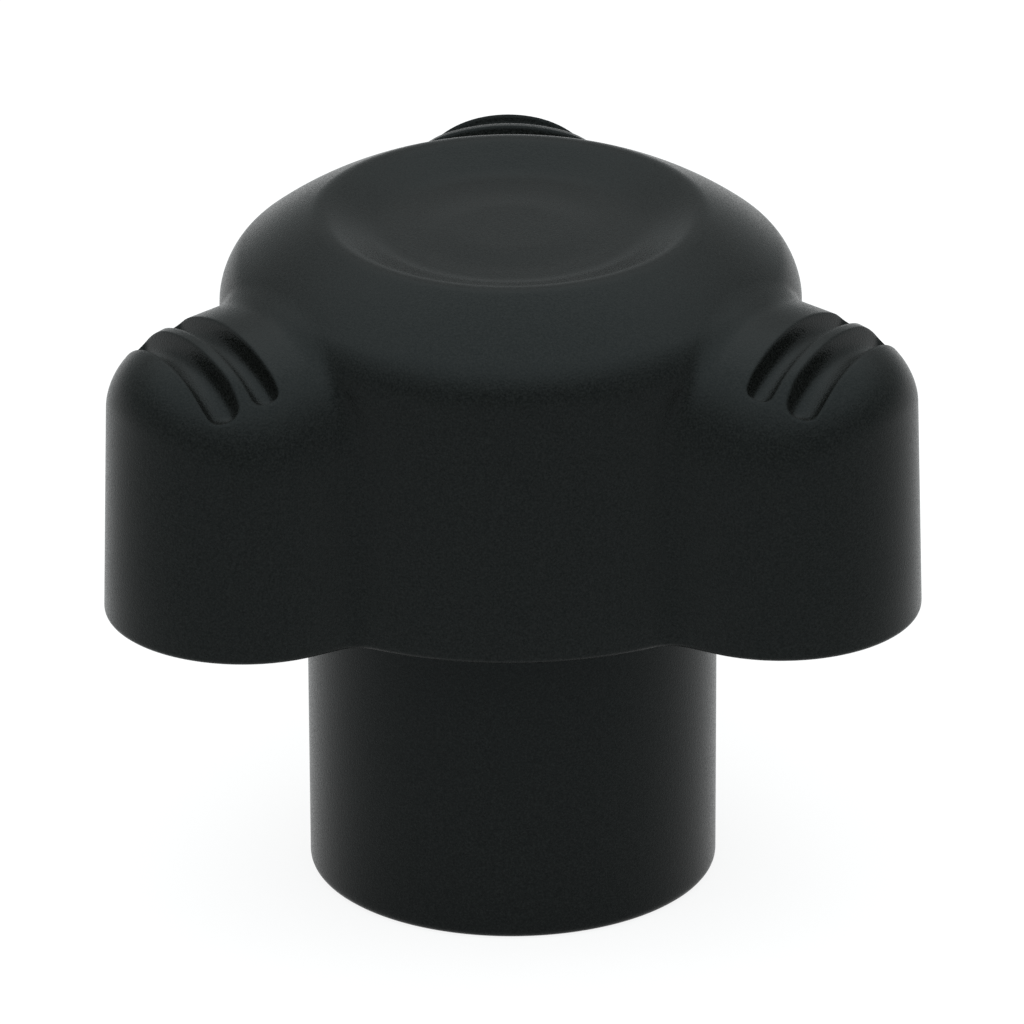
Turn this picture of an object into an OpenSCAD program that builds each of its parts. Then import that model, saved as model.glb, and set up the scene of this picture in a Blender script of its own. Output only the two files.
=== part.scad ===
// Three-lobe clamping knob: a moulded head on a round stem, with a blind threaded brass insert in the stem.
// The origin is the middle of the stem's lower face, where the screw enters, and +Z is up the axis.

/* [Head] */
// Diameter of the circle that the three lobe tips touch
overall_d = 50; // [44:0.5:60]
// Height of the head, from its lower face to the rim of the dish
head_h = 20.3; // [17:0.1:26]
// Diameter of the round middle at the head's lower face
hub_d = 32.9; // [30:0.1:36]
// Radius of the round middle's upper edge
hub_round = 1.1; // [0.6:0.1:3]
// Fall of the crowned ring around the dish, where it leaves the rim, in degrees
hub_fall = 23; // [10:0.5:30]
// Radius of that ring's crown, from the rim to the upper edge
hub_crown = 18.5; // [17:0.5:40]
// Lean of the moulded walls, in degrees
draft = 1; // [0.3:0.1:2]
// Radius of the head's lower edge
foot_round = 0.35; // [0.2:0.05:0.8]

/* [Lobes] */
// Radius of a lobe's end, seen from above
lobe_r = 7.8; // [7:0.05:9]
// Height of a lobe's crest above the head's lower face
lobe_h = 17.2; // [14:0.1:18.5]
// Fall of the crest outwards, in degrees
lobe_fall = 8; // [0:0.5:14]
// Radius of the arch across a lobe's top
lobe_crown = 11; // [8:0.1:14]
// Radius of a lobe's upper edge
lobe_round = 3; // [1.5:0.1:4]
// Radius of the hollow crease where a lobe joins the round middle
crease_round = 0.7; // [0.5:0.1:2]

/* [Grip grooves] */
// Width of a groove
groove_w = 1.75; // [0.8:0.05:2]
// Distance of the inner groove from the knob's axis
groove_at = 18.75; // [18:0.05:20]
// Distance from one groove to the next
groove_pitch = 2.75; // [2:0.05:3.2]
// Number of grooves on each lobe
groove_count = 2; // [0:1:2]
// Depth of a groove at the lobe's crest
groove_depth = 0.9; // [0.4:0.05:1.4]
// Radius of the inner groove's arch, along the lobe's top
groove_arch = 9.6; // [7.5:0.1:12]
// How much smaller the arch of the next groove out is
groove_arch_fall = 2; // [0:0.1:2.5]
// Distance across the lobe between the centres of the inner groove's round ends
groove_span = 9.8; // [6:0.1:11]
// How much shorter the next groove out is
groove_span_fall = 0.6; // [0:0.1:2]
// How much more the next groove out leans inwards at its ends, in degrees
groove_lean = 18; // [0:1:30]

/* [Dish] */
// Diameter of the dish's rim
dish_d = 21.1; // [14:0.1:22]
// Depth of the dish below its rim
dish_depth = 1.7; // [0.8:0.1:3]
// Diameter of the dish's flat floor
dish_floor_d = 10; // [4:0.5:13]
// Width of the hollow bend between the dish's floor and its wall
dish_bend = 2.8; // [0.5:0.1:3.5]

/* [Stem] */
// Diameter of the stem where it joins the head
stem_d = 22.9; // [19:0.1:25]
// Length of the stem below the head
stem_l = 19.1; // [12:0.1:30]
// Lean of the stem's wall, in degrees
stem_draft = 0.3; // [0:0.1:1]
// Radius of the stem's lower edge
stem_edge = 0.5; // [0.2:0.05:1]
// Radius of the hollow corner between the stem and the head
stem_fillet = 1; // [0.4:0.1:2]

/* [Insert] */
// Outside diameter of the insert
insert_d = 15; // [13.5:0.1:17]
// Length of the insert
insert_l = 23; // [18:0.5:26]
// Diameter of the hole that the thread is cut in
thread_hole_d = 8.5; // [6.5:0.1:10]
// Depth of the hole, to the end of its straight wall
thread_hole_l = 19; // [12:0.5:21]
// Width of the chamfer at the hole's mouth
mouth_chamfer = 0.9; // [0.4:0.1:1.2]
// Width of the groove that keeps the insert from pulling out
keeper_w = 3; // [1.5:0.1:5]
// Depth of that groove
keeper_depth = 0.9; // [0.3:0.1:1.3]
// Length of the plain collar at the insert's mouth
collar_l = 2; // [1:0.1:4]
// How far the collar lies below the knurls' roots
collar_relief = 0.2; // [0.1:0.05:0.4]
// Number of straight knurls around the insert
knurl_count = 36; // [24:1:48]
// Depth of a knurl
knurl_depth = 0.4; // [0.2:0.05:0.6]

/* [Hidden] */

body_colour = "#26282a";
brass_colour = "#b5924c";

$fn = 96;
overrun = 1;
drill_point_angle = 118;

// Rings of the head's skin: along the lower edge, up to the height that the slanting rays start from, and on
// to the dish's rim
foot_rings = 3;
skin_rings = 32;
ray_start_share = 0.2;
lobe_steps = 9;
hub_steps = 10;
hub_step_power = 1.5;
dish_rings = 8;
halvings = 22;

// Rings of a groove's cutter: along its arch, on each round end, and the sides of each ring
groove_rings = 10;
groove_cap_rings = 2;
groove_sides = 12;

lobe_count = 3;
lobe_at = overall_d / 2 - lobe_r;
lobe_pitch = 360 / lobe_count;
first_lobe = 90;
hub_r = hub_d / 2;
rim_r = dish_d / 2;
floor_r = dish_floor_d / 2;
dish_slope = dish_depth / (rim_r - floor_r);
ray_start = head_h * ray_start_share;
rim_angle = atan2(head_h - ray_start, rim_r);
lobe_side_angle = atan2(lobe_r, lobe_at);
stem_r = stem_d / 2;
stem_foot_r = stem_r - stem_l * tan(stem_draft);
insert_r = insert_d / 2;

// Distances from a surface are negative inside it.
// Inside both of two surfaces, with a rounded edge where they meet
function inside_both(a, b, r) =
    let (ia = a + r, ib = b + r)
    min(max(ia, ib), 0) + norm([max(ia, 0), max(ib, 0)]) - r;

// Inside either of two surfaces, with a hollow fillet where they meet
function inside_either(a, b, r) =
    max(min(a, b), r) - norm([max(r - a, 0), max(r - b, 0)]);

// The round middle: a leaning wall under a crowned ring that falls outwards
function hub_gap(rho, z) =
    let (from_r = rho - rim_r + hub_crown * sin(hub_fall),
         from_z = z - head_h + hub_crown * cos(hub_fall))
    inside_both(rho - hub_r + z * tan(draft), norm([from_r, from_z]) - hub_crown, hub_round);

// A lobe, u out along its middle and v across it: leaning walls with a round end, under an arched crest
function lobe_gap(u, v, z) =
    let (crest = lobe_h - (u - lobe_at) * tan(lobe_fall))
    inside_both(norm([max(u - lobe_at, 0), v]) - lobe_r + z * tan(draft),
                norm([v, max(z - crest + lobe_crown, 0)]) - lobe_crown,
                lobe_round);

// The whole head at an angle from the middle of the nearest lobe
function head_gap(rho, angle, z) =
    inside_either(hub_gap(rho, z), lobe_gap(rho * cos(angle), rho * sin(angle), z), crease_round);

// How far a ray from the axis runs before it comes within an inset of the head's surface.
// A ray is its start height, its tilt and that inset.
function reach(ray, angle, near, far, n) =
    let (mid = (near + far) / 2,
         gap = head_gap(mid * cos(ray[1]), angle, ray[0] + mid * sin(ray[1])))
    n == 0 ? mid
    : gap < -ray[2] ? reach(ray, angle, mid, far, n - 1)
    : reach(ray, angle, near, mid, n - 1);

// Angles from a lobe's middle to the middle of the next valley: even around the lobe's round end, then close
// together in the valley and wider along the hub
half_angles = [
    for (k = [0 : lobe_steps])
        let (turn = 90 * k / lobe_steps)
        atan2(lobe_r * sin(turn), lobe_at + lobe_r * cos(turn)),
    for (k = [1 : hub_steps])
        lobe_side_angle + (lobe_pitch / 2 - lobe_side_angle) * pow(k / hub_steps, hub_step_power)
];
last_half = len(half_angles) - 1;

// The angles of a whole ring, each with its index into half_angles
ring_turns = [
    for (lobe = [0 : lobe_count - 1], k = [-last_half : last_half - 1])
        [first_lobe + lobe * lobe_pitch + sign(k) * half_angles[abs(k)], abs(k)]
];

// The rays of each ring, from the rounded lower edge to just below the rim
skin_rays = [
    for (k = [0 : foot_rings])
        let (turn = 90 * k / foot_rings)
        [foot_round * (1 - cos(turn)), 0, foot_round * (1 - sin(turn))],
    for (k = [0 : skin_rings - 1]) [ray_start, rim_angle * k / skin_rings, 0]
];

// Height of the dish's surface, floor and wall joined by a bend
function dish_z(r) =
    let (along = r - floor_r + dish_bend / 2)
    head_h - dish_depth + dish_slope * (along <= 0 ? 0 : along < dish_bend ? along * along / (2 * dish_bend)
                                        : r - floor_r);

// A ring of points from one reach for each half angle
function skin_ring(ray, reaches) = [
    for (turn = ring_turns)
        let (run = reaches[turn[1]], out = run * cos(ray[1]))
        [out * cos(turn[0]), out * sin(turn[0]), ray[0] + run * sin(ray[1])]
];

function round_ring(r, z) = [for (turn = ring_turns) [r * cos(turn[0]), r * sin(turn[0]), z]];

// Rings of points joined into bands, closed by a fan to a point before the first and one past the last
module closed_skin(rings, first, last) {
    size = len(rings[0]);
    before = len(rings) * size;
    past = before + 1;
    last_ring = before - size;
    bands = [
        for (i = [0 : len(rings) - 2], j = [0 : size - 1])
            let (a = i * size + j,
                 b = i * size + (j + 1) % size)
            each [[a, a + size, b + size], [a, b + size, b]]
    ];
    fans = [
        for (j = [0 : size - 1])
            let (next = (j + 1) % size)
            each [[before, j, next], [past, last_ring + next, last_ring + j]]
    ];
    polyhedron(points = concat([for (ring = rings) each ring], [first, last]), faces = concat(bands, fans));
}

// The head's skin, from the middle of its lower face to the middle of the dish's floor
module head_skin() {
    skin = [
        for (ray = skin_rays)
            skin_ring(ray, [for (angle = half_angles) reach(ray, angle, 0, overall_d, halvings)])
    ];
    dish = [
        for (k = [0 : dish_rings - 1])
            let (r = rim_r * (1 - k / dish_rings))
            round_ring(r, dish_z(r))
    ];
    closed_skin(concat(skin, dish), [0, 0, 0], [0, 0, dish_z(0)]);
}

// The stem, with a rounded lower edge and a hollow corner under the head
module stem() {
    rotate_extrude() difference() {
        union() {
            polygon([[0, stem_edge], [stem_foot_r, stem_edge], [stem_r, stem_l],
                     [stem_r + stem_fillet, stem_l], [stem_r + stem_fillet, stem_l + overrun],
                     [0, stem_l + overrun]]);
            square([stem_foot_r - stem_edge, stem_edge + overrun]);
            translate([stem_foot_r - stem_edge, stem_edge]) circle(stem_edge);
            translate([stem_r, stem_l - stem_fillet]) square(stem_fillet);
        }
        translate([stem_r + stem_fillet, stem_l - stem_fillet]) circle(stem_fillet);
    }
}

// A point of a groove's round cutter: turn along its arch, then ahead of that place and r off the arch
function groove_point(path_r, turn, ahead, r, around) =
    let (off = path_r + r * cos(around))
    [r * sin(around), off * sin(turn) + ahead * cos(turn), off * cos(turn) - ahead * sin(turn)];

// Grooves across one lobe, along its arch, with round ends
module lobe_grooves() {
    tube_r = groove_w / 2;
    for (k = [0 : groove_count - 1]) {
        out = groove_at + k * groove_pitch;
        crest = lobe_h - (out - lobe_at) * tan(lobe_fall);
        arch = groove_arch - k * groove_arch_fall;
        path_r = arch - groove_depth + tube_r;
        sweep = asin((groove_span - k * groove_span_fall) / (2 * arch));
        rows = [
            for (i = [1 : groove_cap_rings]) let (t = 90 * i / (groove_cap_rings + 1))
                [-sweep, -tube_r * cos(t), tube_r * sin(t)],
            for (i = [0 : groove_rings]) [sweep * (2 * i / groove_rings - 1), 0, tube_r],
            for (i = [groove_cap_rings : -1 : 1]) let (t = 90 * i / (groove_cap_rings + 1))
                [sweep, tube_r * cos(t), tube_r * sin(t)]
        ];
        translate([out, 0, crest]) rotate([0, k * groove_lean, 0]) translate([0, 0, -arch])
            closed_skin(
                [for (row = rows) [for (j = [0 : groove_sides - 1])
                    groove_point(path_r, row[0], row[1], row[2], 360 * j / groove_sides)]],
                groove_point(path_r, -sweep, -tube_r, 0, 0),
                groove_point(path_r, sweep, tube_r, 0, 0));
    }
}

// Outer form of the insert, which the moulding wraps: collar, knurled bands and the groove between them
module insert_form() {
    knurled_l = insert_l - collar_l;
    keeper_z = collar_l + (knurled_l - keeper_w) / 2;
    root_r = insert_r - knurl_depth;
    cylinder(r = root_r - collar_relief, h = collar_l);
    difference() {
        translate([0, 0, collar_l]) linear_extrude(knurled_l) polygon([
            for (k = [0 : 2 * knurl_count - 1])
                let (r = k % 2 == 0 ? insert_r : root_r, turn = 180 * k / knurl_count)
                [r * cos(turn), r * sin(turn)]
        ]);
        translate([0, 0, keeper_z]) difference() {
            cylinder(r = insert_r + overrun, h = keeper_w);
            cylinder(r = insert_r - keeper_depth, h = keeper_w);
        }
    }
}

module knob_body() {
    color(body_colour) difference() {
        union() {
            translate([0, 0, stem_l]) head_skin();
            stem();
        }
        for (lobe = [0 : lobe_count - 1])
            translate([0, 0, stem_l]) rotate([0, 0, first_lobe + lobe * lobe_pitch]) lobe_grooves();
        insert_form();
    }
}

module threaded_insert() {
    hole_r = thread_hole_d / 2;
    color(brass_colour) difference() {
        insert_form();
        translate([0, 0, -overrun]) cylinder(r = hole_r, h = thread_hole_l + overrun);
        translate([0, 0, thread_hole_l])
            cylinder(r1 = hole_r, r2 = 0, h = hole_r / tan(drill_point_angle / 2));
        translate([0, 0, -overrun])
            cylinder(r1 = hole_r + mouth_chamfer + overrun, r2 = hole_r, h = mouth_chamfer + overrun);
    }
}

knob_body();
threaded_insert();
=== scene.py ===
import math

import bmesh
import bpy
import numpy as np
from bpy.props import FloatProperty, FloatVectorProperty, IntProperty, PointerProperty
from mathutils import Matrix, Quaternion, Vector


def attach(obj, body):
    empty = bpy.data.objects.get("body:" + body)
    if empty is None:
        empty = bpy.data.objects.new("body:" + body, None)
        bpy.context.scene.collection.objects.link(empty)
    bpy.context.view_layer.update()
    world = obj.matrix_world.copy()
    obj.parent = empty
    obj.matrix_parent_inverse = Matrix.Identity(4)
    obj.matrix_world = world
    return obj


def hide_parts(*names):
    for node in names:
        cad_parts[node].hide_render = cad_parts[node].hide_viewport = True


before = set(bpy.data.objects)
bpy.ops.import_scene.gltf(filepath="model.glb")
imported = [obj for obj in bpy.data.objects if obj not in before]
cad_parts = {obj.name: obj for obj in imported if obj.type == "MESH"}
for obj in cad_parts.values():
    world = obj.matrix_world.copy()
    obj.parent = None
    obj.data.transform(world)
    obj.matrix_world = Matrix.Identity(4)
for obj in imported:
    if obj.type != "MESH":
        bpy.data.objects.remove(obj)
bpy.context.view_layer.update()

bl_info = {
    "name": "Clamping knob",
    "version": (1, 0, 0),
    "blender": (4, 5, 0),
    "location": "View3D > Sidebar > Knob",
    "description": "Dresses the three-lobe clamping knob and sets it in a plain studio",
    "category": "Object",
}

MM = 0.001
WELD = 1e-7
LOBES = 3
FIRST_LOBE = math.radians(90)
# Most of a noise texture's values lie between these
NOISE_LOW, NOISE_HIGH = 0.3, 0.7
# Spacing of a wave texture's rings at a scale of 1
WAVE_SPACING = 0.314


def linear(hex_colour):
    """A colour written as sRGB hex, as linear red, green and blue."""
    parts = [int(hex_colour[i:i + 2], 16) / 255 for i in (1, 3, 5)]
    return tuple(c / 12.92 if c <= 0.04045 else ((c + 0.055) / 1.055) ** 2.4 for c in parts)


def length(name, description, mm):
    """A length, with its default in millimetres."""
    return FloatProperty(name=name, description=description, default=mm * MM, precision=5, unit="LENGTH")


def lean(name, description, degrees):
    """An angle, with its default in degrees."""
    return FloatProperty(name=name, description=description, default=math.radians(degrees), subtype="ANGLE")


def colour(name, description, hex_colour):
    """A colour, with its default in sRGB hex."""
    return FloatVectorProperty(name=name, description=description, default=linear(hex_colour),
                               size=3, min=0, max=1, subtype="COLOR")


class HeadSizes(bpy.types.PropertyGroup):
    """Sizes of the three-lobed head, its dish and its grip grooves"""
    overall_d: length("Overall diameter", "Circle around the three lobes", 50)
    head_h: length("Head height", "From the head's lower face to the dish's rim", 20.3)
    hub_d: length("Middle diameter", "Round middle at the head's lower face", 32.9)
    hub_round: length("Shoulder radius", "Round edge between the middle's wall and its sloping top", 1.1)
    hub_fall: lean("Top slope", "Fall of the crowned ring around the dish, where it leaves the rim", 23)
    hub_crown: length("Top crown", "Radius of that ring's crown, from the rim to the shoulder", 18.5)
    draft: lean("Draft", "Lean of the head's walls", 1)
    foot_round: length("Lower edge radius", "Round edge around the head's lower face", 0.35)
    lobe_r: length("Lobe end radius", "Round end of a lobe, seen from above", 7.8)
    lobe_h: length("Lobe height", "Crest of a lobe at the start of its round end", 17.2)
    lobe_fall: lean("Crest slope", "Fall of a lobe's crest, outwards", 8)
    lobe_crown: length("Arch radius", "Arch across a lobe's top", 11)
    lobe_round: length("Lobe edge radius", "Round edge between a lobe's wall and its top", 3)
    crease_round: length("Crease radius", "Hollow corner where a lobe meets the middle", 0.7)
    rim_round: length("Rim radius", "Round edge of the dish's rim", 1.6)
    dish_d: length("Dish diameter", "Dish at its rim", 21.1)
    dish_depth: length("Dish depth", "From the rim to the floor", 1.2)
    dish_floor_d: length("Dish floor diameter", "Flat floor, measured to the corner of floor and wall", 14.8)
    dish_bend: length("Dish bend", "Width of the bend between the floor and the wall", 1.2)
    boss_d: length("Boss diameter", "Faint raised middle of the dish's floor", 11.2)
    boss_h: length("Boss height", "How far it stands up", 0.15)
    groove_floor: length("Groove floor", "Width of the inner grip groove at its floor", 1.15)
    groove_floor_rise: length("Groove floor rise", "How much wider the floor of the next groove out is", 0.3)
    groove_flare: lean("Groove flare", "Lean of a groove's walls, which open upwards", 17)
    groove_at: length("First groove", "From the axis to the inner groove", 18.85)
    groove_pitch: length("Groove pitch", "Between the grooves of a lobe", 2.55)
    groove_depth: length("Groove depth", "At the lobe's crest", 1.1)
    groove_arch: length("Groove arch", "Arch of the inner groove along the lobe's top", 12)
    groove_arch_fall: length("Groove arch fall", "How much smaller the arch of the next groove out is", 2.4)
    groove_span: length("Groove span", "Across the lobe, between the inner groove's ends", 10.8)
    groove_span_fall: length("Groove span fall", "How much shorter the next groove out is", 0.6)
    groove_count: IntProperty(name="Grooves", description="Grip grooves on each lobe", default=2, min=0)


class StemSizes(bpy.types.PropertyGroup):
    """Sizes of the stem under the head"""
    stem_d: length("Stem diameter", "Stem under the head", 22.9)
    stem_l: length("Stem length", "From the stem's lower face to the head", 19.1)
    stem_draft: lean("Stem draft", "Lean of the stem's wall", 0.3)
    stem_edge: length("Stem edge radius", "Round lower edge of the stem", 0.5)
    stem_fillet: length("Stem fillet", "Hollow corner between the stem and the head", 1)


class InsertSizes(bpy.types.PropertyGroup):
    """Sizes of the brass insert and its thread"""
    insert_d: length("Insert diameter", "Over the knurls", 15)
    insert_l: length("Insert length", "From the stem's lower face", 23)
    hole_d: length("Hole diameter", "Hole that the thread is cut in", 8.5)
    hole_l: length("Hole depth", "To the end of the straight wall", 19)
    mouth_chamfer: length("Mouth chamfer", "Width of the chamfer at the hole's mouth", 0.9)
    keeper_w: length("Keeper groove width", "Groove that keeps the insert in", 3)
    keeper_depth: length("Keeper groove depth", "Depth of that groove", 0.9)
    collar_l: length("Collar length", "Plain collar at the mouth", 2)
    collar_relief: length("Collar relief", "How far the collar lies below the knurls' roots", 0.2)
    collar_break: length("Collar edge", "Broken edge of the collar", 0.15)
    knurl_depth: length("Knurl depth", "Height of a straight knurl", 0.4)
    knurl_count: IntProperty(name="Knurls", description="Straight knurls around the insert",
                             default=36, min=3)
    thread_d: length("Thread diameter", "Outside diameter of the screw", 10)
    thread_pitch: length("Thread pitch", "Rise of the thread in one turn", 1.5)
    drill_point: lean("Drill point", "Point angle of the drill that made the hole", 118)


class Finishes(bpy.types.PropertyGroup):
    """Colours of the materials and sizes of their grain"""
    # The two nylon colours are a faint random tone of the grain, widened into painted light: the paler copy
    # on the grain's peaks is painted sheen for the light that the peaks catch, and the darker one in the
    # pits is painted shade
    nylon: colour("Nylon", "Black pigment of the moulding, in the pits of its grain", "#060706")
    nylon_painted_sheen: colour("Nylon peaks", "The same on the tops of its grain, which catch the light", "#141514")
    gloss: colour("Nylon gloss", "Cool tint of its sheen", "#eefbff")
    brass: colour("Brass", "Free-cutting brass", "#c9a25c")
    paper: colour("Paper", "Floor of the studio", "#f4f5f5")
    grain: length("Nylon grain", "Width of one spark-eroded pit as drawn", 0.12)
    turning: length("Turning marks", "Spacing of the lathe's marks on the brass as drawn", 0.12)


class StudioSizes(bpy.types.PropertyGroup):
    """Camera, light and paper"""
    view_height: lean("View height", "Angle of the camera above the horizon", 24.18)
    view_roll: lean("View roll", "Turn of the camera about its line of sight", -0.25)
    view_distance: length("View distance", "From the camera to the point that it looks at", 1500)
    view_width: length("View width", "Width of the picture at that point", 57.12)
    aim_x: length("Aim, across", "Point that the camera looks at, across", 0.02)
    aim_z: length("Aim, height", "Point that the camera looks at, above the floor", 21.0)
    view_turn: lean("View turn", "Angle of the camera to the left of the part's front", 0.35)
    ceiling_lean: lean("Ceiling lean", "Lean of the lit ceiling towards the camera", 8)
    ceiling_light: FloatProperty(name="Ceiling light", description="Light of the ceiling, where white is 1",
                                 default=2.15, min=0)
    daylight: colour("Daylight", "Cool light of the studio", "#f7feff")
    wall_light: FloatProperty(name="Wall light", description="Light of the front and back walls",
                              default=0.46, min=0)
    side_light: FloatProperty(name="Side light", description="Light of the side walls", default=0.68, min=0)
    lamp_size: length("Lamp size", "Side of the square softbox above the knob", 900)
    lamp_height: length("Lamp height", "Softbox above the floor", 800)
    lamp_ahead: length("Lamp ahead", "How far the softbox hangs towards the camera", 100)
    lamp_power: FloatProperty(name="Lamp power", description="Power of the softbox", default=2, min=0,
                              unit="POWER")
    paper_half: length("Paper half width", "Half the side of the square sheet under the knob", 4000)


def settings():
    return bpy.context.scene.clamping_knob


class KnobSettings(bpy.types.PropertyGroup):
    """All that a user may change"""
    head: PointerProperty(type=HeadSizes)
    stem: PointerProperty(type=StemSizes)
    insert: PointerProperty(type=InsertSizes)
    finishes: PointerProperty(type=Finishes)
    studio: PointerProperty(type=StudioSizes)


def inside_both(a, b, r):
    """Distance from what lies inside two surfaces, with a round edge where they meet."""
    a, b = a + r, b + r
    return np.minimum(np.maximum(a, b), 0) + np.hypot(np.maximum(a, 0), np.maximum(b, 0)) - r


def inside_either(a, b, r):
    """Distance from what lies inside either of two surfaces, with a hollow corner where they meet."""
    return np.maximum(np.minimum(a, b), r) - np.hypot(np.maximum(r - a, 0), np.maximum(r - b, 0))


def lobe_axis_distance(head):
    return head.overall_d / 2 - head.lobe_r


def lobe_crest(head, u):
    """Height of a lobe's crest above the head's lower face, u out from the axis."""
    return head.lobe_h - (u - lobe_axis_distance(head)) * math.tan(head.lobe_fall)


def head_gap(head, rho, angle, z):
    """Distance from the head's skin, negative inside, at an angle from the nearest lobe's middle."""
    taper = z * math.tan(head.draft)
    ring = np.hypot(rho - head.dish_d / 2 + head.hub_crown * math.sin(head.hub_fall),
                    z - head.head_h + head.hub_crown * math.cos(head.hub_fall)) - head.hub_crown
    hub = inside_both(rho - head.hub_d / 2 + taper, ring, head.hub_round)
    u, v = rho * np.cos(angle), rho * np.sin(angle)
    wall = np.hypot(np.maximum(u - lobe_axis_distance(head), 0), v) - head.lobe_r + taper
    above = z - lobe_crest(head, u) + head.lobe_crown
    arch = np.hypot(v, np.maximum(above, 0)) - head.lobe_crown
    return inside_either(hub, inside_both(wall, arch, head.lobe_round), head.crease_round)


def skin_row(head, start, tilt, inset, angles, halvings=44):
    """Where rays that leave the axis at a height and a tilt come within an inset of the head's skin."""
    near, far = np.zeros_like(angles), np.full_like(angles, head.overall_d)
    for _ in range(halvings):
        mid = (near + far) / 2
        inside = head_gap(head, mid * math.cos(tilt), angles, start + mid * math.sin(tilt)) < -inset
        near, far = np.where(inside, mid, near), np.where(inside, far, mid)
    return near * math.cos(tilt), start + near * math.sin(tilt)


def dish_height(head, r):
    """Height of the dish above the head's lower face: a floor and a wall joined by a bend."""
    floor_r = head.dish_floor_d / 2
    slope = head.dish_depth / (head.dish_d / 2 - floor_r)
    along = r - floor_r + head.dish_bend / 2
    if along <= 0:
        rise = 0
    elif along < head.dish_bend:
        rise = along * along / (2 * head.dish_bend)
    else:
        rise = r - floor_r
    # The boss falls off smoothly from half its radius to its edge
    up = min(max(2 - 4 * r / head.boss_d, 0), 1)
    boss = head.boss_h * up * up * (3 - 2 * up)
    return head.head_h - head.dish_depth + slope * rise + boss


def arc(centre, radius, start, end, steps):
    """Points along an arc in the plane of radius and height, angles in degrees."""
    turns = np.radians(np.linspace(start, end, steps + 1))
    return [(centre[0] + radius * math.cos(t), centre[1] + radius * math.sin(t)) for t in turns]


def body_rings(head, stem, lobe_steps=34, hub_steps=26, skin_steps=140, dish_steps=36, round_steps=6):
    """Rings of points over the moulding, from the middle of the stem's lower face to the dish's middle."""
    at, support = lobe_axis_distance(head), head.foot_round
    side = math.atan2(head.lobe_r, at)
    ends = np.radians(np.linspace(0, 90, lobe_steps + 1))
    valley = np.linspace(0, 1, hub_steps + 1)[1:] ** 1.4
    half = np.concatenate([np.arctan2(head.lobe_r * np.sin(ends), at + head.lobe_r * np.cos(ends)),
                           side + (math.pi / LOBES - side) * valley])
    last = len(half) - 1
    steps = np.tile(np.arange(-last, last), LOBES)
    turns = (FIRST_LOBE + np.repeat(np.arange(LOBES), 2 * last) * 2 * math.pi / LOBES
             + np.sign(steps) * half[np.abs(steps)])

    stem_r = stem.stem_d / 2
    foot_r = stem_r - stem.stem_l * math.tan(stem.stem_draft)
    fillet = (stem_r + stem.stem_fillet, stem.stem_l - stem.stem_fillet)
    edge = (foot_r - stem.stem_edge, stem.stem_edge)
    rows = [(0, 0), (edge[0] - support, 0)]
    rows += arc(edge, stem.stem_edge, -90, 0, round_steps)
    rows += [(foot_r + (stem_r - foot_r) * k, edge[1] + (fillet[1] - edge[1]) * k)
             for k in (0.02, 0.98)]
    rows += arc(fillet, stem.stem_fillet, 180, 90, round_steps)
    rows += [(fillet[0] + support, stem.stem_l)]

    skin = [(0, 0, head.foot_round + support)]
    for turn in np.radians(np.linspace(0, 90, round_steps + 1)):
        skin.append((head.foot_round * (1 - math.cos(turn)), 0, head.foot_round * (1 - math.sin(turn))))
    rim_r, fall = head.dish_d / 2, head.hub_fall
    wall = math.atan2(head.dish_depth, rim_r - head.dish_floor_d / 2)
    tangent = head.rim_round * math.tan((fall + wall) / 2)
    start = head.head_h * 0.2
    top = math.atan2(head.head_h - tangent * math.sin(fall) - start, rim_r + tangent * math.cos(fall))
    skin += [(start, tilt, 0) for tilt in np.linspace(0, top, skin_steps + 1)]
    for height, tilt, inset in skin:
        r, z = skin_row(head, height, tilt, inset, half)
        rows.append((r, z + stem.stem_l))

    rim_in = rim_r - tangent * math.cos(wall)
    rim_centre = (rim_in + head.rim_round * math.sin(wall),
                  stem.stem_l + head.head_h - tangent * math.sin(wall) - head.rim_round * math.cos(wall))
    rim = arc(rim_centre, head.rim_round, 90 - math.degrees(fall), 90 + math.degrees(wall), round_steps)
    rows += rim[1:]
    rows += [(r, stem.stem_l + dish_height(head, r)) for r in np.linspace(rim_in, 0, dish_steps + 1)[1:]]

    rings = np.zeros((len(rows), len(turns), 3))
    for ring, (r, z) in zip(rings, rows):
        r = np.broadcast_to(r, half.shape)[np.abs(steps)]
        ring[:, 0], ring[:, 1] = r * np.cos(turns), r * np.sin(turns)
        ring[:, 2] = np.broadcast_to(z, half.shape)[np.abs(steps)]
    return rings


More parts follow.
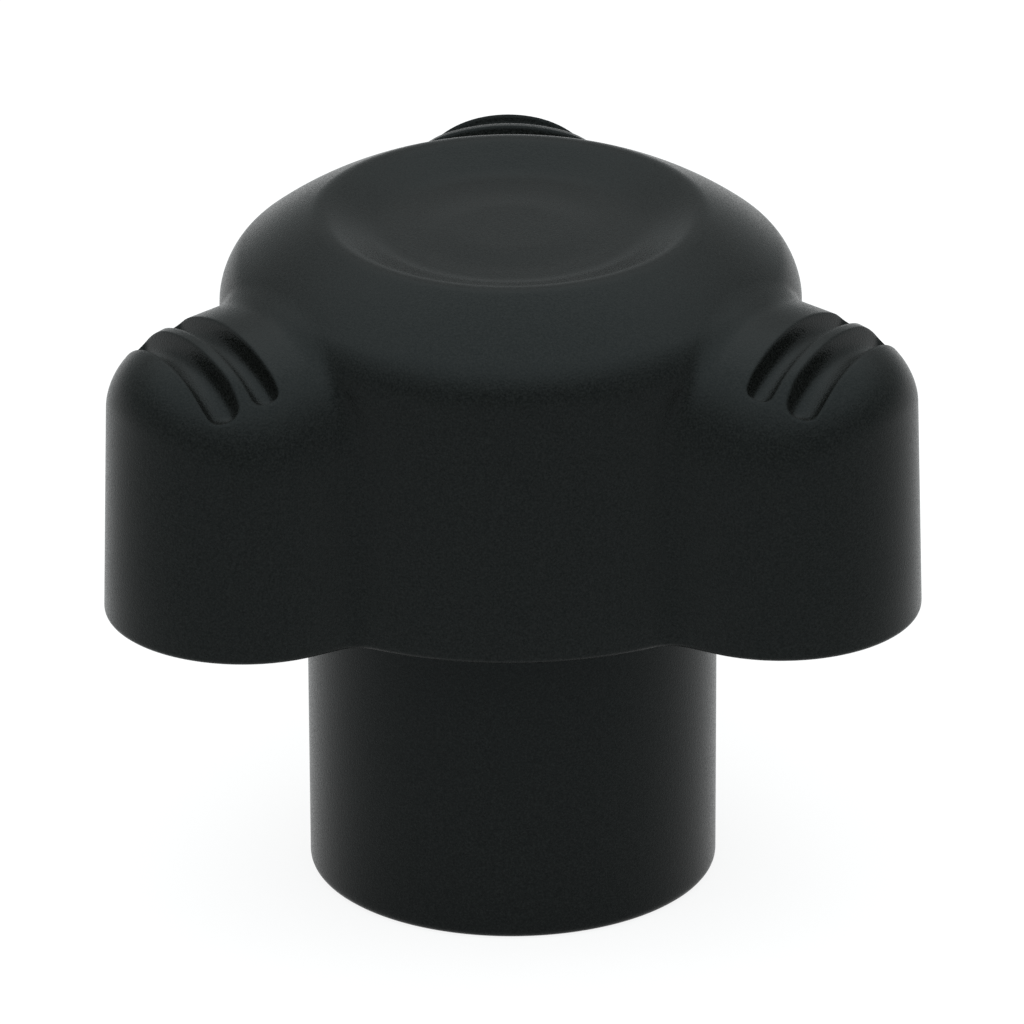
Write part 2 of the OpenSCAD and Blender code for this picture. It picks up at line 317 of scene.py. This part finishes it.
def groove_rings(head, lobe, groove, around=32, along=40, cap_steps=7, corner=5):
    """Rings over the cutter of one grip groove, which runs along the arch of a lobe. Its section has a flat
    floor, walls that open upwards and round corners, and its ends are squarish."""
    u = head.groove_at + groove * head.groove_pitch
    arch, reach = head.groove_arch - groove * head.groove_arch_fall, head.groove_depth
    floor = (head.groove_floor + groove * head.groove_floor_rise) / 2
    slope = math.tan(head.groove_flare)
    turns = np.linspace(0, 2 * math.pi, around, endpoint=False)[:, None]
    over, beside = np.cos(turns), np.sin(turns)
    wall = np.maximum(np.abs(beside) - slope * over, 0) / (floor + reach * slope)
    section = ((np.abs(over) / reach) ** corner + wall ** corner) ** (-1 / corner)

    sweep = math.asin((head.groove_span - groove * head.groove_span_fall) / 2 / arch)
    caps = np.linspace(0, math.pi / 2, cap_steps + 1)
    rows = [(-sweep, -floor * math.cos(t), math.sin(t) ** 0.5) for t in caps]
    rows += [(a, 0, 1) for a in np.linspace(-sweep, sweep, along + 1)[1:-1]]
    rows += [(sweep, floor * math.cos(t), math.sin(t) ** 0.5) for t in caps[::-1]]
    turn = FIRST_LOBE + lobe * 2 * math.pi / LOBES
    out = np.array([math.cos(turn), math.sin(turn), 0])
    across = np.array([-math.sin(turn), math.cos(turn), 0])
    up = np.array([0.0, 0.0, 1.0])
    centre = u * out + (settings().stem.stem_l + lobe_crest(head, u) - arch) * up
    rings = np.zeros((len(rows), around, 3))
    for ring, (a, ahead, size) in zip(rings, rows):
        radial = math.sin(a) * across + math.cos(a) * up
        tangent = math.cos(a) * across - math.sin(a) * up
        middle = centre + arch * radial + ahead * tangent
        ring[:] = middle + size * section * (over * radial + beside * out)
    return rings


def thread_radius(insert, z, turns):
    """Radius of the threaded wall: a right-handed metric thread that runs out before the hole's end."""
    minor, depth = insert.hole_d / 2, (insert.thread_d - insert.hole_d) / 2
    flank = depth * math.tan(math.radians(30))
    opening = insert.thread_pitch / 16 + flank
    phase = (z / insert.thread_pitch - turns / (2 * math.pi)) % 1
    cut = np.clip((opening - np.abs(phase - 0.5) * insert.thread_pitch) / flank, 0, 1)
    left = (insert.hole_l - z) / insert.thread_pitch - 1
    return minor + depth * cut * min(max(left, 0), 1)


def insert_outside(insert, columns_a_knurl=4):
    """Turns around the insert and the rows of its outside, from the collar to the upper end."""
    columns = insert.knurl_count * columns_a_knurl
    turns = np.linspace(0, 2 * math.pi, columns, endpoint=False)
    tip, root = insert.insert_d / 2, insert.insert_d / 2 - insert.knurl_depth
    slope = np.abs((np.arange(columns) % columns_a_knurl) / (columns_a_knurl / 2) - 1)
    knurls = root + (tip - root) * slope
    collar, kept = root - insert.collar_relief, tip - insert.keeper_depth
    low = insert.collar_l + (insert.insert_l - insert.collar_l - insert.keeper_w) / 2
    high = low + insert.keeper_w
    rows = [(collar, insert.collar_l), (knurls, insert.collar_l), (knurls, low), (kept, low),
            (kept, high), (knurls, high), (knurls, insert.insert_l), (0, insert.insert_l)]
    return turns, collar, rows


def lathe_rings(turns, rows):
    rings = np.zeros((len(rows), len(turns), 3))
    for ring, (r, z) in zip(rings, rows):
        ring[:, 0], ring[:, 1], ring[:, 2] = r * np.cos(turns), r * np.sin(turns), z
    return rings


def socket_rings(insert, overrun=1 * MM):
    """Rings over the room that the insert fills in the moulding, run on below the stem."""
    turns, collar, rows = insert_outside(insert)
    return lathe_rings(turns, [(0, -overrun), (collar, -overrun)] + rows)


def insert_rings(insert, rows_a_pitch=16):
    """Rings over the insert, from the drill's point down the threaded wall and up its outside."""
    turns, collar, outside = insert_outside(insert)
    hole_r = insert.hole_d / 2
    point = insert.hole_l + hole_r / math.tan(insert.drill_point / 2)
    rows = [(0, point)]
    for z in np.linspace(insert.hole_l, 0, round(insert.hole_l / insert.thread_pitch * rows_a_pitch) + 1):
        chamfer = hole_r + insert.mouth_chamfer - z
        rows.append((np.maximum(thread_radius(insert, z, turns), chamfer), z))
    rows += [(collar - insert.collar_break, 0), (collar, insert.collar_break)]
    return lathe_rings(turns, rows + outside)


def add_rings(bm, rings):
    """Lays a grid over rings of points and welds it into a closed skin, whose end rings are poles."""
    count, columns = rings.shape[:2]
    made = bmesh.ops.create_grid(bm, x_segments=columns, y_segments=count - 1, size=1.0)["verts"]
    for vert in made:
        column = round((vert.co.x + 1) / 2 * columns) % columns
        row = round((vert.co.y + 1) / 2 * (count - 1))
        vert.co = rings[row, column]
    bmesh.ops.remove_doubles(bm, verts=made, dist=WELD)


def mesh_from_rings(name, all_rings):
    bm = bmesh.new()
    for rings in all_rings:
        add_rings(bm, rings)
    bmesh.ops.recalc_face_normals(bm, faces=bm.faces)
    mesh = bpy.data.meshes.new(name)
    bm.to_mesh(mesh)
    bm.free()
    piece = bpy.data.objects.new(name, mesh)
    bpy.context.scene.collection.objects.link(piece)
    return piece


def cut(piece, cutter):
    """Takes the cutter's space out of the piece, and removes the cutter."""
    knife = piece.modifiers.new("cut", "BOOLEAN")
    knife.operation, knife.solver, knife.object = "DIFFERENCE", "EXACT", cutter
    graph = bpy.context.evaluated_depsgraph_get()
    whole = piece.data
    piece.data = bpy.data.meshes.new_from_object(piece.evaluated_get(graph))
    piece.data.name = piece.name
    piece.modifiers.clear()
    bpy.data.meshes.remove(whole)
    bpy.data.meshes.remove(cutter.data)


def shade(piece, sharp_degrees):
    """Smooth shading, with edges sharper than an angle kept."""
    bm = bmesh.new()
    bm.from_mesh(piece.data)
    bmesh.ops.dissolve_degenerate(bm, dist=WELD, edges=bm.edges)
    for face in bm.faces:
        face.smooth = True
    for edge in bm.edges:
        edge.smooth = edge.calc_face_angle(math.pi) < math.radians(sharp_degrees)
    bm.to_mesh(piece.data)
    bm.free()


def dress(piece, material, node):
    """Gives a piece its material and sets it in the place of its CAD node."""
    piece.data.materials.clear()
    piece.data.materials.append(material)
    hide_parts(node)
    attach(piece, "root")


def add_node(tree, kind, inputs=None, **values):
    """Adds a node, sets its values, and fills its inputs with constants or links."""
    made = tree.nodes.new(kind)
    for key, value in values.items():
        setattr(made, key, value)
    for key, value in (inputs or {}).items():
        if isinstance(value, bpy.types.NodeSocket):
            tree.links.new(value, made.inputs[key])
        else:
            made.inputs[key].default_value = value
    return made


def new_material(name):
    material = bpy.data.materials.new(name)
    material.use_nodes = True
    material.node_tree.nodes.clear()
    return material, material.node_tree


def spark_grained_nylon(finishes):
    """Black nylon, moulded in a spark-eroded mould: a fine matt grain of pits that softens every highlight,
    and a sheen only where the surface is seen edge on. Its colour is drawn paler on the grain's peaks and
    darker in its pits, which is painted sheen and painted shade of the grain. The real grain is about 0.1
    mm, and it is drawn a little coarser so that it shows."""
    material, tree = new_material("spark_grained_black_nylon")
    place = add_node(tree, "ShaderNodeTexCoord").outputs["Object"]
    pits = add_node(tree, "ShaderNodeTexNoise", {
        "Vector": place, "Scale": 1 / finishes.grain, "Detail": 2.0, "Roughness": 0.55}).outputs["Fac"]
    # Painted sheen and shade of the grain: the nylon is drawn paler on the grain's peaks and darker in its
    # pits, as lit and shaded copies of one black
    grain_sheen_mask = add_node(tree, "ShaderNodeMapRange", {
        "Value": pits, "From Min": NOISE_LOW, "From Max": NOISE_HIGH})
    grain_and_painted_sheen = add_node(tree, "ShaderNodeMix", {
        "Factor": grain_sheen_mask.outputs["Result"], "A": (*finishes.nylon, 1), "B": (*finishes.nylon_painted_sheen, 1)},
        data_type="RGBA")
    # A peak of the grain is rougher than the floor of a pit
    matt = add_node(tree, "ShaderNodeMapRange", {
        "Value": pits, "From Min": NOISE_LOW, "From Max": NOISE_HIGH, "To Min": 0.14, "To Max": 0.34})
    # Moulded edges are a little round, which the grooves' cut edges lack
    soft = add_node(tree, "ShaderNodeBevel", {"Radius": 0.3 * MM}, samples=6)
    bump = add_node(tree, "ShaderNodeBump", {
        "Strength": 0.35, "Distance": 0.4 * finishes.grain, "Height": pits,
        "Normal": soft.outputs["Normal"]})
    # So fine a grain traps most of the gloss that smooth nylon has
    skin = add_node(tree, "ShaderNodeBsdfPrincipled", {
        "Base Color": grain_and_painted_sheen.outputs[2], "Roughness": matt.outputs["Result"], "IOR": 1.5,
        "Specular IOR Level": 0.12, "Specular Tint": (*finishes.gloss, 1),
        "Normal": bump.outputs["Normal"]})
    add_node(tree, "ShaderNodeOutputMaterial", {"Surface": skin.outputs["BSDF"]})
    return material


def turned_brass(finishes):
    """Free-cutting brass off a lathe: bright, with fine rings of turning marks about the axis. The real
    marks are about 0.05 mm apart, and they are drawn coarser so that they show."""
    material, tree = new_material("turned_brass")
    place = add_node(tree, "ShaderNodeTexCoord").outputs["Object"]
    rings = add_node(tree, "ShaderNodeTexWave", {
        "Vector": place, "Scale": WAVE_SPACING / finishes.turning, "Distortion": 0.6, "Detail": 2.0,
        "Detail Scale": 0.4}, wave_type="RINGS", rings_direction="Z", wave_profile="SIN").outputs["Fac"]
    tarnish = add_node(tree, "ShaderNodeTexNoise", {
        "Vector": place, "Scale": 1 / (2.5 * MM), "Detail": 4.0, "Roughness": 0.6}).outputs["Fac"]
    dull = add_node(tree, "ShaderNodeMapRange", {
        "Value": tarnish, "From Min": NOISE_LOW, "From Max": NOISE_HIGH, "To Min": 0.24, "To Max": 0.38})
    bump = add_node(tree, "ShaderNodeBump", {"Strength": 0.25, "Distance": 0.02 * MM, "Height": rings})
    skin = add_node(tree, "ShaderNodeBsdfPrincipled", {
        "Base Color": (*finishes.brass, 1), "Metallic": 1.0, "Roughness": dull.outputs["Result"],
        "Normal": bump.outputs["Normal"]})
    add_node(tree, "ShaderNodeOutputMaterial", {"Surface": skin.outputs["BSDF"]})
    return material


def white_studio(studio):
    """White walls under a broad lit ceiling, which leans a little towards the camera. The camera sees plain
    white."""
    world = bpy.data.worlds.new("white_studio")
    world.use_nodes = True
    tree = world.node_tree
    tree.nodes.clear()
    way = add_node(tree, "ShaderNodeTexCoord").outputs["Generated"]
    middle = (0, -math.sin(studio.ceiling_lean), math.cos(studio.ceiling_lean))
    height = add_node(tree, "ShaderNodeVectorMath", {0: way, 1: middle}, operation="DOT_PRODUCT")
    across = add_node(tree, "ShaderNodeVectorMath", {0: way, 1: (1, 0, 0)}, operation="DOT_PRODUCT")
    aside = add_node(tree, "ShaderNodeMath", {0: across.outputs["Value"]}, operation="ABSOLUTE")
    walls = add_node(tree, "ShaderNodeMapRange", {
        "Value": aside.outputs["Value"], "To Min": studio.wall_light, "To Max": studio.side_light})
    # The ceiling fades into the walls between these two heights, where straight up is 1
    light = add_node(tree, "ShaderNodeMapRange", {
        "Value": height.outputs["Value"], "From Min": 0.28, "From Max": 0.9,
        "To Min": walls.outputs["Result"], "To Max": studio.ceiling_light}, interpolation_type="SMOOTHSTEP")
    camera = add_node(tree, "ShaderNodeLightPath").outputs["Is Camera Ray"]
    level = add_node(tree, "ShaderNodeMix", {"Factor": camera, "A": light.outputs["Result"], "B": 1.0})
    tint = add_node(tree, "ShaderNodeMix", {
        "Factor": camera, "A": (*studio.daylight, 1), "B": (1, 1, 1, 1)}, data_type="RGBA")
    sky = add_node(tree, "ShaderNodeBackground", {"Color": tint.outputs[2], "Strength": level.outputs[0]})
    add_node(tree, "ShaderNodeOutputWorld", {"Surface": sky.outputs["Background"]})
    return world


def white_paper(finishes):
    """A sheet of matt white paper, seen white by the camera, by gloss and through glass, with a faint
    shadow under the knob. It is clear from below, so that the knob's underside can be looked at."""
    material, tree = new_material("matt_white_paper")
    rays = add_node(tree, "ShaderNodeLightPath").outputs
    seen = add_node(tree, "ShaderNodeMath", {
        0: rays["Is Camera Ray"], 1: rays["Is Glossy Ray"]}, operation="MAXIMUM")
    seen = add_node(tree, "ShaderNodeMath", {
        0: seen.outputs["Value"], 1: rays["Is Transmission Ray"]}, operation="MAXIMUM")
    matt = add_node(tree, "ShaderNodeBsdfDiffuse", {"Color": (*finishes.paper, 1)})
    # In the knob's gloss the sheet is drawn dimmer, a painted shade that stands for the shade lying around
    # the real knob's stem
    level = add_node(tree, "ShaderNodeMapRange", {
        "Value": rays["Is Camera Ray"], "To Min": 0.7, "To Max": 1.0})
    white = add_node(tree, "ShaderNodeEmission", {
        "Color": (1, 1, 1, 1), "Strength": level.outputs["Result"]})
    # The rest is the sheet as it is lit, which keeps the shadow
    part = add_node(tree, "ShaderNodeMath", {0: seen.outputs["Value"], 1: 0.85}, operation="MULTIPLY")
    sheet = add_node(tree, "ShaderNodeMixShader", {
        0: part.outputs["Value"], 1: matt.outputs["BSDF"], 2: white.outputs["Emission"]})
    below = add_node(tree, "ShaderNodeNewGeometry").outputs["Backfacing"]
    clear = add_node(tree, "ShaderNodeBsdfTransparent")
    surface = add_node(tree, "ShaderNodeMixShader", {
        0: below, 1: sheet.outputs["Shader"], 2: clear.outputs["BSDF"]})
    add_node(tree, "ShaderNodeOutputMaterial", {"Surface": surface.outputs["Shader"]})
    return material


class KNOB_OT_body(bpy.types.Operator):
    """Makes the moulding: stem, three-lobed head, dish and grip grooves"""
    bl_idname = "clamping_knob.body"
    bl_label = "Moulded body"

    def execute(self, context):
        knob = settings()
        piece = mesh_from_rings("moulded_body", [body_rings(knob.head, knob.stem)])
        cutters = [groove_rings(knob.head, lobe, groove)
                   for lobe in range(LOBES) for groove in range(knob.head.groove_count)]
        cut(piece, mesh_from_rings("cutters", cutters + [socket_rings(knob.insert)]))
        shade(piece, sharp_degrees=35)
        dress(piece, spark_grained_nylon(knob.finishes), "knob_body")
        return {"FINISHED"}


class KNOB_OT_insert(bpy.types.Operator):
    """Makes the brass insert with its thread, knurls and keeper groove"""
    bl_idname = "clamping_knob.insert"
    bl_label = "Threaded insert"

    def execute(self, context):
        knob = settings()
        piece = mesh_from_rings("brass_insert", [insert_rings(knob.insert)])
        shade(piece, sharp_degrees=28)
        dress(piece, turned_brass(knob.finishes), "threaded_insert")
        return {"FINISHED"}


class KNOB_OT_studio(bpy.types.Operator):
    """Lays the paper, hangs the soft lamp and sets the camera at the photograph's angle"""
    bl_idname = "clamping_knob.studio"
    bl_label = "Plain studio"

    def execute(self, context):
        scene, studio = context.scene, settings().studio
        scene.view_settings.view_transform = "Standard"
        bm = bmesh.new()
        bmesh.ops.create_grid(bm, x_segments=1, y_segments=1, size=studio.paper_half)
        mesh = bpy.data.meshes.new("paper")
        bm.to_mesh(mesh)
        bm.free()
        paper = bpy.data.objects.new("paper", mesh)
        paper.data.materials.append(white_paper(settings().finishes))
        scene.collection.objects.link(paper)

        lamp = bpy.data.objects.new("softbox", bpy.data.lights.new("softbox", "AREA"))
        lamp.data.shape, lamp.data.size = "SQUARE", studio.lamp_size
        lamp.data.energy = studio.lamp_power
        lamp.location = (0, -studio.lamp_ahead, studio.lamp_height)
        lamp.visible_glossy = False
        scene.collection.objects.link(lamp)
        scene.world = white_studio(studio)

        camera = bpy.data.objects.new("camera", bpy.data.cameras.new("camera"))
        camera.data.lens = camera.data.sensor_width * studio.view_distance / studio.view_width
        camera.data.clip_end = 2 * studio.paper_half
        aim = Vector((studio.aim_x, 0, studio.aim_z))
        back = Vector((0, -math.cos(studio.view_height), math.sin(studio.view_height)))
        back.rotate(Quaternion((0, 0, 1), -studio.view_turn))
        camera.location = aim + back * studio.view_distance
        camera.rotation_mode = "QUATERNION"
        camera.rotation_quaternion = ((-back).to_track_quat("-Z", "Y")
                                      @ Quaternion((0, 0, 1), studio.view_roll))
        scene.collection.objects.link(camera)
        scene.camera = camera
        return {"FINISHED"}


class KNOB_PT_panel(bpy.types.Panel):
    """Lists the knob's pieces and its studio"""
    bl_idname = "KNOB_PT_panel"
    bl_label = "Clamping knob"
    bl_space_type = "VIEW_3D"
    bl_region_type = "UI"
    bl_category = "Knob"

    def draw(self, context):
        for operator, groups in PANEL_ROWS:
            self.layout.operator(operator.bl_idname)
            for group in groups:
                owner = getattr(settings(), group)
                column = self.layout.column(align=True)
                for name in owner.__annotations__:
                    column.prop(owner, name)


PANEL_ROWS = (
    (KNOB_OT_body, ("head", "stem")),
    (KNOB_OT_insert, ("insert",)),
    (KNOB_OT_studio, ("finishes", "studio")),
)

CLASSES = (HeadSizes, StemSizes, InsertSizes, Finishes, StudioSizes, KnobSettings,
           KNOB_OT_body, KNOB_OT_insert, KNOB_OT_studio, KNOB_PT_panel)


def register():
    for cls in CLASSES:
        bpy.utils.register_class(cls)
    bpy.types.Scene.clamping_knob = PointerProperty(type=KnobSettings)


def unregister():
    del bpy.types.Scene.clamping_knob
    for cls in reversed(CLASSES):
        bpy.utils.unregister_class(cls)


def main():
    register()
    bpy.ops.clamping_knob.body()
    bpy.ops.clamping_knob.insert()
    bpy.ops.clamping_knob.studio()


if __name__ == "__main__":
    main()
